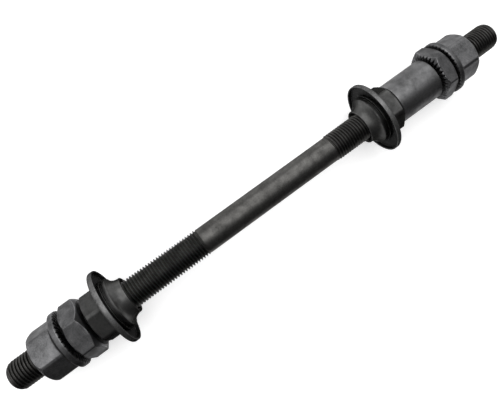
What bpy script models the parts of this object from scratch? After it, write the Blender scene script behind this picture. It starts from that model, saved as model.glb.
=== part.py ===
"""Solid rear hub axle of a bicycle, with its cones, dust caps, spacer, locknuts and flanged axle nuts.

The axle lies along Y with its middle at the origin. Its left end is at +Y, and its right
end, which carries the spacer, at -Y. Every piece on it is built along its own +Z, with z = 0
at its inboard end, and is then laid on the axle with +Z pointing outboard.
"""

import math

import bmesh
import bpy
from mathutils import Matrix

MM = 0.001

# Axle: 3/8 inch, 26 threads per inch, with its threads rolled on a thinner blank
AXLE_LENGTH = 190.0 * MM
THREAD_RADIUS = 4.7 * MM
BLANK_RADIUS = 4.4 * MM
LEFT_THREAD = 68.0 * MM
RIGHT_THREAD = 71.0 * MM
THREAD_RUNOUT = 0.8 * MM
LEFT_TIP_RADIUS = 2.6 * MM
LEFT_TIP_LENGTH = 2.8 * MM
RIGHT_TIP_RADIUS = 3.5 * MM
RIGHT_TIP_LENGTH = 2.4 * MM

# Clearances between pieces. The left nuts are only run on by hand, so their gaps are wider
BORE_CLEARANCE = 0.25 * MM
SEAT_CLEARANCE = 0.3 * MM
FACE_GAP = 0.3 * MM
LEFT_LOCKNUT_GAP = 0.85 * MM
LEFT_NUT_GAP = 0.8 * MM

# How far the axle stands out of each axle nut
LEFT_TIP_OUT = 9.5 * MM
RIGHT_TIP_OUT = 12.0 * MM

# Cone, from its small end: lip, ball race, base, groove, stop ring, seat of the dust cap, wrench flats
LIP_RADIUS = 6.15 * MM
LIP_LENGTH = 0.5 * MM
LIP_CHAMFER = 0.2 * MM
RACE_RADIUS = 3.3 * MM
BASE_RADIUS = 8.5 * MM
BASE_BEVEL = 0.2 * MM
BASE_LENGTH = 0.65 * MM
GROOVE_RADIUS = 7.9 * MM
GROOVE_LENGTH = 0.8 * MM
RING_RADIUS = 8.85 * MM
RING_LENGTH = 0.45 * MM
SEAT_RADIUS = 8.25 * MM
SEAT_LENGTH = 1.6 * MM
CONE_ACROSS_FLATS = 15.0 * MM
CONE_CORNER_RADIUS = 8.4 * MM
CONE_FLATS_LENGTH = 5.6 * MM
CONE_FACE_RADIUS = 7.4 * MM
CONE_END_CHAMFER = 0.5 * MM

# Dust cap: a pressed steel dish, open inboard
CAP_RADIUS = 12.6 * MM
CAP_SHEET = 0.6 * MM
CAP_HEIGHT = 1.8 * MM
CAP_BEND = 0.75 * MM
CAP_EDGE = 0.15 * MM

# Spacer tube on the right
SPACER_RADIUS = 7.2 * MM
SPACER_LENGTH = 16.85 * MM
SPACER_CHAMFER = 0.35 * MM

# Locknuts
LOCKNUT_ACROSS_FLATS = 17.0 * MM
LOCKNUT_CORNER_RADIUS = 9.6 * MM
LOCKNUT_FACE_RADIUS = 8.1 * MM
LEFT_LOCKNUT_HEIGHT = 6.25 * MM
RIGHT_LOCKNUT_HEIGHT = 5.15 * MM

# Flanged axle nuts
NUT_ACROSS_FLATS = 15.0 * MM
NUT_CORNER_RADIUS = 8.4 * MM
NUT_HEIGHT = 10.6 * MM
NUT_CROWN = 1.9 * MM
NUT_END_RADIUS = 5.6 * MM
FLANGE_RADIUS = 9.45 * MM
FLANGE_RIM = 1.7 * MM
FLANGE_BEVEL = 0.3 * MM
FLANGE_FACE_RADIUS = 9.15 * MM

# How much narrower the flange gets for each length above its rim
FLANGE_SLOPE = 1.6

# Radial serrations: fine ones on the faces that clamp the dropouts, deep ones towards the spacer
TEETH = 36
TOOTH_DEPTH = 0.4 * MM
DEEP_TOOTH_DEPTH = 0.8 * MM
TEETH_INNER_RADIUS = 5.7 * MM

# Chamfers, as tangents of their angles from the face
HEX_CHAMFER_SLOPE = math.tan(math.radians(36.0))
COUNTERSINK = 0.6 * MM

# How far each hexagon's first corner stands round from the top towards -X, in degrees
LEFT_CONE_CORNER = -14.0
LEFT_LOCKNUT_CORNER = -22.0
LEFT_NUT_CORNER = 16.0
RIGHT_CONE_CORNER = -36.0
RIGHT_LOCKNUT_CORNER = -24.0
RIGHT_NUT_CORNER = 30.0

# Facets round a turned piece, facets of a bend, and how far a cutter reaches past what it cuts
ROUND_STEPS = 48
AXLE_STEPS = 36
RACE_STEPS = 6
BEND_STEPS = 3
INNER_BEND_STEPS = 2
REACH = 1.0 * MM
TEETH_REACH = 0.1 * MM

# Height of a three-sided bar that stands on one face, as a share of its corners' radius
BAR_HEIGHT_SHARE = 1.5

# Largest angle between two faces that are shaded as one curved surface
SMOOTH_ANGLE = math.radians(28.0)

LEFT = 1
RIGHT = -1

BORE_RADIUS = THREAD_RADIUS + BORE_CLEARANCE
COUNTERSINK_RADIUS = BORE_RADIUS + COUNTERSINK
CAP_HOLE_RADIUS = SEAT_RADIUS + SEAT_CLEARANCE


def clear_scene():
    """Removes every object of the scene that Blender starts with."""
    for obj in list(bpy.data.objects):
        bpy.data.objects.remove(obj)


def new_collection(name):
    """Makes a collection in the scene."""
    collection = bpy.data.collections.new(name)
    bpy.context.scene.collection.children.link(collection)
    return collection


def steel(name, grey, roughness):
    """Makes a Principled material of blackened steel."""
    material = bpy.data.materials.new(name)
    material.use_nodes = True
    shader = material.node_tree.nodes["Principled BSDF"]
    shader.inputs["Base Color"].default_value = (grey, grey, grey, 1.0)
    shader.inputs["Metallic"].default_value = 0.8
    shader.inputs["Roughness"].default_value = roughness
    return material


def bend(centre_r, centre_z, radius, first, last, steps=BEND_STEPS):
    """Points of an arc in a profile, as (r, z), from one angle to another in degrees."""
    angles = [math.radians(first + (last - first) * i / steps) for i in range(steps + 1)]
    return [(centre_r + radius * math.cos(a), centre_z + radius * math.sin(a)) for a in angles]


def turned(name, profile, collection, steps=ROUND_STEPS, closed=True):
    """Turns a profile of (r, z) points round Z. It runs down the outer side, top to bottom."""
    mesh = bpy.data.meshes.new(name)
    edges = [(i, i + 1) for i in range(len(profile) - 1)]
    if closed:
        edges.append((len(profile) - 1, 0))
    mesh.from_pydata([(r, 0.0, z) for r, z in profile], edges, [])
    obj = bpy.data.objects.new(name, mesh)
    collection.objects.link(obj)
    screw = obj.modifiers.new("turn", "SCREW")
    screw.axis = "Z"
    screw.steps = steps
    screw.render_steps = steps
    screw.use_merge_vertices = True
    screw.merge_threshold = 0.000001
    return obj


def as_cutter(obj):
    """Marks an object as a helper that is not itself part of the model."""
    obj.hide_render = True
    obj.display_type = "WIRE"
    return obj


def combine(obj, other, operation):
    """Adds a Boolean with a helper that shares the piece's own frame."""
    other.parent = obj
    boolean = obj.modifiers.new(other.name, "BOOLEAN")
    boolean.operation = operation
    boolean.solver = "EXACT"
    boolean.object = other


def flats_cutter(name, across_flats, bottom, top):
    """Ring with a hexagonal hole, which leaves wrench flats with a corner on +X."""
    corner = across_flats / math.sqrt(3.0)
    outside = corner * 2.0
    profile = [(corner, top), (outside, top), (outside, bottom), (corner, bottom)]
    return as_cutter(turned(name, profile, CUTTERS, steps=6))


def bore_cutter(name, height, top_countersink=True):
    """Bore right through a piece, countersunk at its inboard end and, if asked, at its outboard end."""
    grown = COUNTERSINK_RADIUS + REACH
    profile = [(0.0, height + REACH)]
    if top_countersink:
        profile += [(grown, height + REACH), (BORE_RADIUS, height - COUNTERSINK)]
    else:
        profile += [(BORE_RADIUS, height + REACH)]
    profile += [(BORE_RADIUS, COUNTERSINK), (grown, -REACH), (0.0, -REACH)]
    return as_cutter(turned(name, profile, CUTTERS, closed=False))


def serration_cutter(name, outer_radius, depth, face, into):
    """Star of V-shaped bars that cuts radial teeth into the face at z = face. Its points look along into."""
    size = (depth + TEETH_REACH) / BAR_HEIGHT_SHARE
    length = outer_radius + REACH - TEETH_INNER_RADIUS
    point_up = Matrix.Rotation(math.radians(-90.0), 4, "Y") @ Matrix.Rotation(math.radians(-90.0), 4, "Z")
    if into < 0:
        point_up = point_up @ Matrix.Rotation(math.radians(180.0), 4, "Z")
    middle = (TEETH_INNER_RADIUS + length / 2.0, 0.0, face + into * (depth - size))
    bars = bmesh.new()
    for tooth in range(TEETH):
        around = Matrix.Rotation(2.0 * math.pi * tooth / TEETH, 4, "Z")
        place = around @ Matrix.Translation(middle) @ point_up
        bmesh.ops.create_cone(
            bars, cap_ends=True, segments=3, radius1=size, radius2=size, depth=length, matrix=place
        )
    bmesh.ops.recalc_face_normals(bars, faces=bars.faces)
    mesh = bpy.data.meshes.new(name)
    bars.to_mesh(mesh)
    bars.free()
    obj = bpy.data.objects.new(name, mesh)
    CUTTERS.objects.link(obj)
    return as_cutter(obj)


def lay_on_axle(obj, side, inboard, corner=0.0):
    """Turns the piece's +Z outboard, sets z = 0 at inboard from the middle, and its +X round from the top."""
    angle = math.radians(corner)
    turn = math.atan2(-side * math.cos(angle), -math.sin(angle))
    obj.location = (0.0, side * inboard, 0.0)
    obj.rotation_euler = (
        Matrix.Rotation(math.radians(-90.0 * side), 4, "X") @ Matrix.Rotation(turn, 4, "Z")
    ).to_euler()


def make_axle():
    """Rolled threads at full diameter, the thinner blank between them, and rounded tips."""
    half = AXLE_LENGTH / 2.0
    left_end = half - LEFT_THREAD
    right_end = RIGHT_THREAD - half
    left_tip = tip_curve(half, LEFT_TIP_RADIUS, LEFT_TIP_LENGTH)
    right_tip = [(r, -z) for r, z in reversed(tip_curve(half, RIGHT_TIP_RADIUS, RIGHT_TIP_LENGTH))]
    blank = [(BLANK_RADIUS, left_end - THREAD_RUNOUT), (BLANK_RADIUS, right_end + THREAD_RUNOUT)]
    threads = [(THREAD_RADIUS, left_end)] + blank + [(THREAD_RADIUS, right_end)]
    profile = [(0.0, half)] + left_tip + threads + right_tip + [(0.0, -half)]
    axle = turned("axle", profile, PIECES, AXLE_STEPS, closed=False)
    lay_on_axle(axle, LEFT, 0.0)
    return axle


def tip_curve(end, radius, length):
    """Quarter of an ellipse from the flat of the tip to the full thread."""
    width = THREAD_RADIUS - radius
    angles = [math.radians(90.0 * (1.0 - i / BEND_STEPS)) for i in range(BEND_STEPS + 1)]
    return [(radius + width * math.cos(a), end + length * (math.sin(a) - 1.0)) for a in angles]


def race_end():
    """Angle of the race's arc where it meets the bevel of the cone's base, and that point's z."""
    rise = BASE_RADIUS - BASE_BEVEL - LIP_RADIUS
    angle = math.acos(1.0 - rise / RACE_RADIUS)
    return angle, LIP_LENGTH + RACE_RADIUS * math.sin(angle)


def cone_levels():
    """Heights of the cone's steps above its small end."""
    base_start = race_end()[1] + BASE_BEVEL
    base_end = base_start + BASE_LENGTH
    ring_start = base_end + GROOVE_LENGTH
    ring_end = ring_start + RING_LENGTH
    seat_end = ring_end + SEAT_LENGTH
    return base_start, base_end, ring_start, ring_end, seat_end, seat_end + CONE_FLATS_LENGTH


def make_cone(name, side, place, corner):
    """Bearing cone: a ground race, a groove, a stop ring, the cap's seat and wrench flats."""
    base_start, base_end, ring_start, ring_end, seat_end, length = cone_levels()
    chamfer = CONE_END_CHAMFER
    flats = [
        (CONE_FACE_RADIUS, length),
        (CONE_CORNER_RADIUS, length - chamfer),
        (CONE_CORNER_RADIUS, seat_end),
    ]
    seat = [(SEAT_RADIUS, seat_end), (SEAT_RADIUS, ring_end)]
    ring = [(RING_RADIUS, ring_end), (RING_RADIUS, ring_start)]
    groove = [(GROOVE_RADIUS, ring_start), (GROOVE_RADIUS, base_end)]
    base = [(BASE_RADIUS, base_end), (BASE_RADIUS, base_start)]
    first = 180.0 - math.degrees(race_end()[0])
    race = bend(LIP_RADIUS + RACE_RADIUS, LIP_LENGTH, RACE_RADIUS, first, 180.0, RACE_STEPS)
    lip = [(LIP_RADIUS, LIP_CHAMFER), (LIP_RADIUS - LIP_CHAMFER, 0.0)]
    profile = [(0.0, length)] + flats + seat + ring + groove + base + race + lip + [(0.0, 0.0)]
    cone = turned(name, profile, PIECES, closed=False)
    combine(cone, flats_cutter(name + "_flats", CONE_ACROSS_FLATS, seat_end, length + REACH), "DIFFERENCE")
    combine(cone, bore_cutter(name + "_bore", length), "DIFFERENCE")
    lay_on_axle(cone, side, place, corner)
    return cone


def make_dust_cap(name, side, place):
    """Pressed dish whose rim turns inboard, round the cone's seat, with a facet at the bottom."""
    inner_bend = CAP_BEND - CAP_SHEET
    top = CAP_HEIGHT
    centre_r = CAP_RADIUS - CAP_BEND
    centre_z = CAP_HEIGHT - CAP_BEND
    outside = [(CAP_HOLE_RADIUS, top)] + bend(centre_r, centre_z, CAP_BEND, 90.0, 0.0)
    edge = [
        (CAP_RADIUS, CAP_EDGE),
        (CAP_RADIUS - CAP_EDGE, 0.0),
        (CAP_RADIUS - CAP_SHEET + CAP_EDGE, 0.0),
        (CAP_RADIUS - CAP_SHEET, CAP_EDGE),
    ]
    inside = bend(centre_r, centre_z, inner_bend, 0.0, 90.0, INNER_BEND_STEPS)
    inside.append((CAP_HOLE_RADIUS, top - CAP_SHEET))
    cap = turned(name, outside + edge + inside, PIECES)
    lay_on_axle(cap, side, place, 180.0 / ROUND_STEPS)
    return cap


def make_spacer(name, side, place):
    """Plain tube between cone and locknut, chamfered outside at both ends."""
    chamfer = SPACER_CHAMFER
    profile = [
        (BORE_RADIUS, SPACER_LENGTH),
        (SPACER_RADIUS - chamfer, SPACER_LENGTH),
        (SPACER_RADIUS, SPACER_LENGTH - chamfer),
        (SPACER_RADIUS, chamfer),
        (SPACER_RADIUS - chamfer, 0.0),
        (BORE_RADIUS, 0.0),
    ]
    spacer = turned(name, profile, PIECES)
    lay_on_axle(spacer, side, place)
    return spacer


def make_locknut(name, side, place, height, serrated, corner):
    """Hexagon chamfered on both faces, one of them serrated: the inboard or the outboard one."""
    drop = (LOCKNUT_CORNER_RADIUS - LOCKNUT_FACE_RADIUS) * HEX_CHAMFER_SLOPE
    profile = [
        (0.0, height),
        (LOCKNUT_FACE_RADIUS, height),
        (LOCKNUT_CORNER_RADIUS, height - drop),
        (LOCKNUT_CORNER_RADIUS, drop),
        (LOCKNUT_FACE_RADIUS, 0.0),
        (0.0, 0.0),
    ]
    nut = turned(name, profile, PIECES, closed=False)
    combine(nut, flats_cutter(name + "_flats", LOCKNUT_ACROSS_FLATS, -REACH, height + REACH), "DIFFERENCE")
    combine(nut, bore_cutter(name + "_bore", height), "DIFFERENCE")
    depth, face, into = (DEEP_TOOTH_DEPTH, 0.0, 1) if serrated == "inboard" else (TOOTH_DEPTH, height, -1)
    teeth = serration_cutter(name + "_teeth", LOCKNUT_CORNER_RADIUS, depth, face, into)
    combine(nut, teeth, "DIFFERENCE")
    lay_on_axle(nut, side, place, corner)
    return nut


def make_axle_nut(name, side, place, corner):
    """Hexagon with a domed end, made in one with a conical flange whose inboard face is serrated."""
    crown_r = NUT_CORNER_RADIUS - NUT_END_RADIUS
    crown_z = NUT_HEIGHT - NUT_CROWN
    angles = [math.radians(90.0 - 90.0 * i / BEND_STEPS) for i in range(BEND_STEPS + 1)]
    crown = [(NUT_END_RADIUS + crown_r * math.cos(a), crown_z + NUT_CROWN * math.sin(a)) for a in angles]
    inside_flange = FLANGE_RIM / 2.0
    profile = [(0.0, NUT_HEIGHT)] + crown + [(NUT_CORNER_RADIUS, inside_flange), (0.0, inside_flange)]
    nut = turned(name, profile, PIECES, closed=False)
    combine(nut, flats_cutter(name + "_flats", NUT_ACROSS_FLATS, 0.0, NUT_HEIGHT + REACH), "DIFFERENCE")
    hidden_radius = NUT_ACROSS_FLATS / 2.0 - REACH
    hidden_height = FLANGE_RIM + (FLANGE_RADIUS - hidden_radius) / FLANGE_SLOPE
    flange_profile = [
        (0.0, hidden_height),
        (hidden_radius, hidden_height),
        (FLANGE_RADIUS, FLANGE_RIM),
        (FLANGE_RADIUS, FLANGE_BEVEL),
        (FLANGE_FACE_RADIUS, 0.0),
        (0.0, 0.0),
    ]
    flange = as_cutter(turned(name + "_flange", flange_profile, CUTTERS, closed=False))
    combine(nut, flange, "UNION")
    combine(nut, bore_cutter(name + "_bore", NUT_HEIGHT, top_countersink=False), "DIFFERENCE")
    combine(nut, serration_cutter(name + "_teeth", FLANGE_RADIUS, TOOTH_DEPTH, 0.0, 1), "DIFFERENCE")
    lay_on_axle(nut, side, place, corner)
    return nut


def finish(obj, material):
    """Makes the piece's modifiers part of its mesh, shades it by angle and gives it its material."""
    graph = bpy.context.evaluated_depsgraph_get()
    mesh = bpy.data.meshes.new_from_object(obj.evaluated_get(graph))
    obj.modifiers.clear()
    obj.data = mesh
    mesh.name = obj.name
    mesh.shade_smooth()
    mesh.set_sharp_from_angle(angle=SMOOTH_ANGLE)
    mesh.materials.clear()
    mesh.materials.append(material)


def make_left_side():
    """Axle nut, locknut and cone with its cap on the left, counted in from the axle's end."""
    seat_end, cone_length = cone_levels()[4:]
    nut_place = AXLE_LENGTH / 2.0 - LEFT_TIP_OUT - NUT_HEIGHT
    locknut_place = nut_place - LEFT_NUT_GAP - LEFT_LOCKNUT_HEIGHT
    cone_place = locknut_place - LEFT_LOCKNUT_GAP - cone_length
    cap_place = cone_place + seat_end - FACE_GAP - CAP_HEIGHT
    return {
        make_cone("left_cone", LEFT, cone_place, LEFT_CONE_CORNER): GROUND,
        make_dust_cap("left_dust_cap", LEFT, cap_place): PRESSED,
        make_locknut(
            "left_locknut", LEFT, locknut_place, LEFT_LOCKNUT_HEIGHT, "outboard", LEFT_LOCKNUT_CORNER
        ): FORGED,
        make_axle_nut("left_axle_nut", LEFT, nut_place, LEFT_NUT_CORNER): FORGED,
    }


def make_right_side():
    """Axle nut, locknut, spacer and cone with its cap on the right, counted in from the axle's end."""
    seat_end, cone_length = cone_levels()[4:]
    nut_place = AXLE_LENGTH / 2.0 - RIGHT_TIP_OUT - NUT_HEIGHT
    locknut_place = nut_place - FACE_GAP - RIGHT_LOCKNUT_HEIGHT
    spacer_place = locknut_place - FACE_GAP - SPACER_LENGTH
    cone_place = spacer_place - FACE_GAP - cone_length
    cap_place = cone_place + seat_end - FACE_GAP - CAP_HEIGHT
    return {
        make_cone("right_cone", RIGHT, cone_place, RIGHT_CONE_CORNER): GROUND,
        make_dust_cap("right_dust_cap", RIGHT, cap_place): PRESSED,
        make_spacer("right_spacer", RIGHT, spacer_place): TURNED,
        make_locknut(
            "right_locknut", RIGHT, locknut_place, RIGHT_LOCKNUT_HEIGHT, "inboard", RIGHT_LOCKNUT_CORNER
        ): FORGED,
        make_axle_nut("right_axle_nut", RIGHT, nut_place, RIGHT_NUT_CORNER): FORGED,
    }


clear_scene()
PIECES = new_collection("bicycle_hub_axle")
CUTTERS = new_collection("cutters")

ROLLED = steel("rolled_thread_steel", 0.045, 0.45)
GROUND = steel("ground_cone_steel", 0.13, 0.35)
PRESSED = steel("pressed_cap_steel", 0.12, 0.5)
TURNED = steel("turned_spacer_steel", 0.18, 0.4)
FORGED = steel("forged_nut_steel", 0.12, 0.55)

pieces = {make_axle(): ROLLED, **make_left_side(), **make_right_side()}
bpy.context.view_layer.update()
for piece, finish_material in pieces.items():
    finish(piece, finish_material)
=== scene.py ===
# %% [markdown]
# # The axle set of a bicycle's rear hub
#
# This is the solid axle that carries a rear wheel: a rod with a thread rolled on each end,
# and on it two bearing cones with their dust caps, a spacer tube, two locknuts and two
# flanged axle nuts. Every piece is steel with a black or dark grey finish.
#
# The construction is done and arrives as a fixed frame. The lesson dresses it: each piece is
# made again with the edges, chamfers, teeth and threads that a maker's tools leave, and then
# gets a finish. Almost everything here was turned on a lathe, so one idea does most of the
# work: a profile, which a node tree turns round the axle and then shapes.

# %% Load the frame
import math

import bmesh
import bpy
from mathutils import Matrix, Vector


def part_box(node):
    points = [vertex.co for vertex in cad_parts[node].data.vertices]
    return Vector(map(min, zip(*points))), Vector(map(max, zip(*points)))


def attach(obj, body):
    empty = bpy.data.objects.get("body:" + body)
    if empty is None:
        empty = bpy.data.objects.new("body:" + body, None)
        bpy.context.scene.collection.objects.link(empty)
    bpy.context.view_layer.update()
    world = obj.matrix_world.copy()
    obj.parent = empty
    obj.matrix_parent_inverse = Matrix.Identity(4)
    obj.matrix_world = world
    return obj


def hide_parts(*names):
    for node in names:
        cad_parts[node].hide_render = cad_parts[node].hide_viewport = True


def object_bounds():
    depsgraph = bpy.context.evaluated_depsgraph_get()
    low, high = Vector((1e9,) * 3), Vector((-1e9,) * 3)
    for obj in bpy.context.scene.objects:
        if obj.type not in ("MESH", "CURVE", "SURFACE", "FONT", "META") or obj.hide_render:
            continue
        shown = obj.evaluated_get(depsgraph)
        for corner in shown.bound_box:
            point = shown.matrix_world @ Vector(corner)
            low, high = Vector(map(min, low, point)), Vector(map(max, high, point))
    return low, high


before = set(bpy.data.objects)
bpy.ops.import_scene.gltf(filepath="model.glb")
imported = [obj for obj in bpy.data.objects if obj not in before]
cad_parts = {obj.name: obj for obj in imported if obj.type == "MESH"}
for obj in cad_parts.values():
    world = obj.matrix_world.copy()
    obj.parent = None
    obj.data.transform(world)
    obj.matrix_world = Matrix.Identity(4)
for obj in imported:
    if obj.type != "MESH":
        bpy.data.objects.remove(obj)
FRAME_LOW, FRAME_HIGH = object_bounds()
MM = 0.001
size_mm = [round(side / MM, 1) for side in FRAME_HIGH - FRAME_LOW]
print("The frame holds", len(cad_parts), "nodes in a box of", size_mm, "mm")

# %% [markdown]
# ## Where the pieces are
#
# A dressed piece has to sit exactly where its solid sits, or the joints would move it through
# its neighbours. So the places aren't typed again: they are read from the frame. The axle
# lies along Y with its left end at +Y. Each piece on it is drawn standing up, with z = 0 at the
# end that faces the middle of the axle, and `lay` then turns it on its side and slides it out.
#
# A hexagon also needs its turn round the axle. It is given as the angle of its first corner
# from the top towards -X, the way someone looking along the axle would read a clock.

# %% Places read from the frame
LEFT = 1
RIGHT = -1


def inboard(node):
    """How far the end of a piece that faces the middle lies from the middle."""
    low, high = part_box(node)
    return min(abs(low.y), abs(high.y))


def height(node):
    """How long a piece is along the axle."""
    low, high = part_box(node)
    return high.y - low.y


def lay(side, start, corner=0.0):
    """Matrix that lays a piece drawn along Z on the axle, at start from the middle."""
    angle = math.radians(corner)
    turn = math.atan2(-side * math.cos(angle), -math.sin(angle))
    over = Matrix.Rotation(math.radians(-90.0 * side), 4, "X")
    return Matrix.Translation((0.0, side * start, 0.0)) @ over @ Matrix.Rotation(turn, 4, "Z")


print(f"axle: {height('axle') / MM:.1f} mm long")
for node in sorted(set(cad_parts) - {"axle"}):
    print(f"{node}: starts {inboard(node) / MM:.1f} mm out, {height(node) / MM:.1f} mm long")

# %% [markdown]
# ## A shorthand for node trees
#
# A node tree built in a script is mostly two actions, adding a node and linking sockets. The
# little class below does both in one call: an input that is itself a socket is linked, and a
# number is typed into the socket. With it, a formula in the tree reads almost like the
# formula on paper.

# %% Helpers for node trees
class Tree:
    """Adds nodes to a tree. Inputs are numbers, vectors, sockets or None, in socket order."""

    def __init__(self, tree):
        self.tree = tree

    def add(self, kind, *inputs, **settings):
        node = self.tree.nodes.new(kind)
        for name, value in settings.items():
            setattr(node, name, value)
        for socket, value in zip(node.inputs, inputs):
            self.feed(socket, value)
        return node

    def feed(self, socket, value):
        if isinstance(value, bpy.types.NodeSocket):
            self.tree.links.new(value, socket)
        elif value is not None:
            socket.default_value = value

    def math(self, operation, *inputs):
        return self.add("ShaderNodeMath", *inputs, operation=operation).outputs[0]

    def mix(self, factor, first, second):
        node = self.add("ShaderNodeMix", data_type="FLOAT")
        for index, value in ((0, factor), (2, first), (3, second)):
            self.feed(node.inputs[index], value)
        return node.outputs[0]

    def ramp(self, value, *limits, **settings):
        """Maps a value from between the first two limits to between the last two."""
        return self.add("ShaderNodeMapRange", value, *limits, **settings).outputs[0]


print("Node shorthand ready")

# %% From a tree to a mesh
def new_geometry_tree(name, sizes):
    """Geometry tree with a Geometry and a Material input and one named input for each size."""
    tree = bpy.data.node_groups.new(name, "GeometryNodeTree")
    sockets = tree.interface
    sockets.new_socket("Geometry", in_out="INPUT", socket_type="NodeSocketGeometry")
    for label, kind in sizes.items():
        sockets.new_socket(label, in_out="INPUT", socket_type=kind)
    sockets.new_socket("Material", in_out="INPUT", socket_type="NodeSocketMaterial")
    sockets.new_socket("Geometry", in_out="OUTPUT", socket_type="NodeSocketGeometry")
    return tree


def finish_tree(nodes, start, geometry):
    """Ends a tree as an export needs it: real faces, one material."""
    real = nodes.add("GeometryNodeRealizeInstances", geometry).outputs[0]
    dressed = nodes.add("GeometryNodeSetMaterial", real, None, start["Material"]).outputs[0]
    nodes.add("NodeGroupOutput", dressed)


def run_tree(name, mesh, tree, sizes, material, place):
    """Runs a tree on a mesh and returns the result as a plain mesh object, laid in its place."""
    obj = bpy.data.objects.new(name, mesh)
    bpy.context.scene.collection.objects.link(obj)
    modifier = obj.modifiers.new(tree.name, "NODES")
    modifier.node_group = tree
    for item in tree.interface.items_tree:
        if item.in_out == "INPUT" and item.name in sizes:
            modifier[item.identifier] = sizes[item.name]
        if item.in_out == "INPUT" and item.name == "Material":
            modifier[item.identifier] = material
    graph = bpy.context.evaluated_depsgraph_get()
    made = bpy.data.meshes.new_from_object(obj.evaluated_get(graph))
    obj.modifiers.clear()
    obj.data = made
    made.name = name
    made.transform(place)
    turn_faces_out(made)
    made.shade_smooth()
    print(f"{name}: {len(made.polygons)} faces")
    return obj


def turn_faces_out(mesh):
    """Points every face of a closed mesh outwards."""
    work = bmesh.new()
    work.from_mesh(mesh)
    bmesh.ops.recalc_face_normals(work, faces=work.faces)
    work.to_mesh(mesh)
    work.free()


print("Tree helpers ready")

# %% [markdown]
# ## Blackened steel
#
# The finish on all these pieces is a thin black conversion coat over bare steel. It is dark,
# it is a little blotchy, it has the fine grain of the surface below, and it wears through
# first where fingers and spanners touch: on the edges. A flat dark colour would look like
# plastic, so the material has four layers, all in Object coordinates: wide blotches, fine
# grain, a roughness that follows them, and bright worn edges with a painted highlight along
# the creases where milled flats end.
#
# The worn edges need to know where the edges are, so the node trees below store that on the
# mesh as attributes. `edge` is 0 on the faces and highest in the middle of a rounded corner.
# The second attribute is the distance in millimetres from the line where a milled flat ends,
# plus 1, and reads 0 on a piece that doesn't have it. Along that line the material paints a
# highlight, standing in for the light that the fillet under the flats and the arches of the
# chamfers catch, and 1 mm from the line is too far for it. A third attribute says where the
# colour is lighter: on the races of the cones, where the coat is thin, on the plain blank and
# the hexagon end of the nuts, and on the outside of the caps, whose inside keeps a darker
# tone as painted shade.

# %% Sizes of the finish
# Blotches and grains in each metre, then the detail and the roughness of their noise
BLOTCHES = (270.0, 4.0, 0.62)
GRAINS = (2600.0, 3.0, 0.55)
# Most of a noise lies within an eighth of its middle value
NOISE_MIDDLE = 0.5
NOISE_REACH = 0.125
# Between these values of the blotches, the wear grows from a quarter to all of itself
PATCHES = (0.38, 0.6, 0.25, 1.0)
# How much brighter the bare steel of a worn edge, and the painted highlight along a crease, are than
# the coat
WEAR_AND_HIGHLIGHT_GAIN = 2.5
# How far the painted highlight reaches from the line where a milled flat ends
HIGHLIGHT_LINE_WIDTH = 0.22 * MM
# How much smoother the steel gets where it is bright, and where it is worn
BRIGHT_POLISH = 0.25
WORN_POLISH = 0.3
GRAIN_DEPTH = 0.02 * MM
print(f"A blotch is about {1.0 / BLOTCHES[0] / MM:.1f} mm, a grain {1.0 / GRAINS[0] / MM:.1f} mm")

# %% The steel material
def noise(nodes, where, settings):
    return nodes.add("ShaderNodeTexNoise", where, None, *settings).outputs["Fac"]


def attribute(nodes, name):
    return nodes.add("ShaderNodeAttribute", attribute_name=name).outputs["Fac"]


def shift(nodes, pattern, reach):
    """How far a noise lifts and lowers a level, by reach on most of the surface."""
    centred = nodes.math("SUBTRACT", pattern, NOISE_MIDDLE)
    return nodes.math("MULTIPLY", centred, reach / NOISE_REACH)


def wear_and_highlight_pattern(nodes, wide):
    """Where the coat is worn on edges, plus a painted highlight along creases, both less in some
    patches.
    """
    # A painted highlight along the line where a milled flat ends, added to the wear on edges
    away = nodes.math("ABSOLUTE", nodes.math("SUBTRACT", attribute(nodes, "highlight_crease"), 1.0))
    line = nodes.ramp(away, 0.0, HIGHLIGHT_LINE_WIDTH / MM, 1.0, 0.0)
    edge = nodes.math("MAXIMUM", attribute(nodes, "edge"), line)
    return nodes.math("MULTIPLY", edge, nodes.ramp(wide, *PATCHES))


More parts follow.
